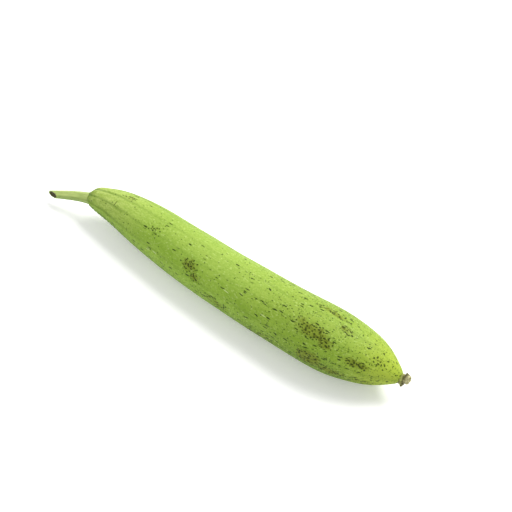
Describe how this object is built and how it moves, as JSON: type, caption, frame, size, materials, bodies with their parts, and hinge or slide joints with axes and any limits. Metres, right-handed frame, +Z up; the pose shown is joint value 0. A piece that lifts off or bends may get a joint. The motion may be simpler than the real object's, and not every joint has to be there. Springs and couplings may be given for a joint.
{
  "type": "sponge gourd",
  "caption": "Whole smooth sponge gourd as picked, lying on its side, with a short cut stem and a dried flower base at the tip.",
  "frame": {"origin": "centre of the gourd's box, on the surface that it rests on", "axes": "+X along the fruit from the stem to the blossom end, +Z up"},
  "size_m": [0.3866, 0.0558, 0.055],
  "materials": {
    "green_skin": "matte waxy vegetable skin, bright green with darker flecks and olive scabs",
    "green_stalk": "matte pale green stalk, dark dried cut end",
    "dried_flower": "dry, papery, beige to grey-brown"
  },
  "bodies": {
    "root": {"fruit": "green_skin", "stem": "green_stalk", "flower_base": "dried_flower"}
  },
  "joints": []
}
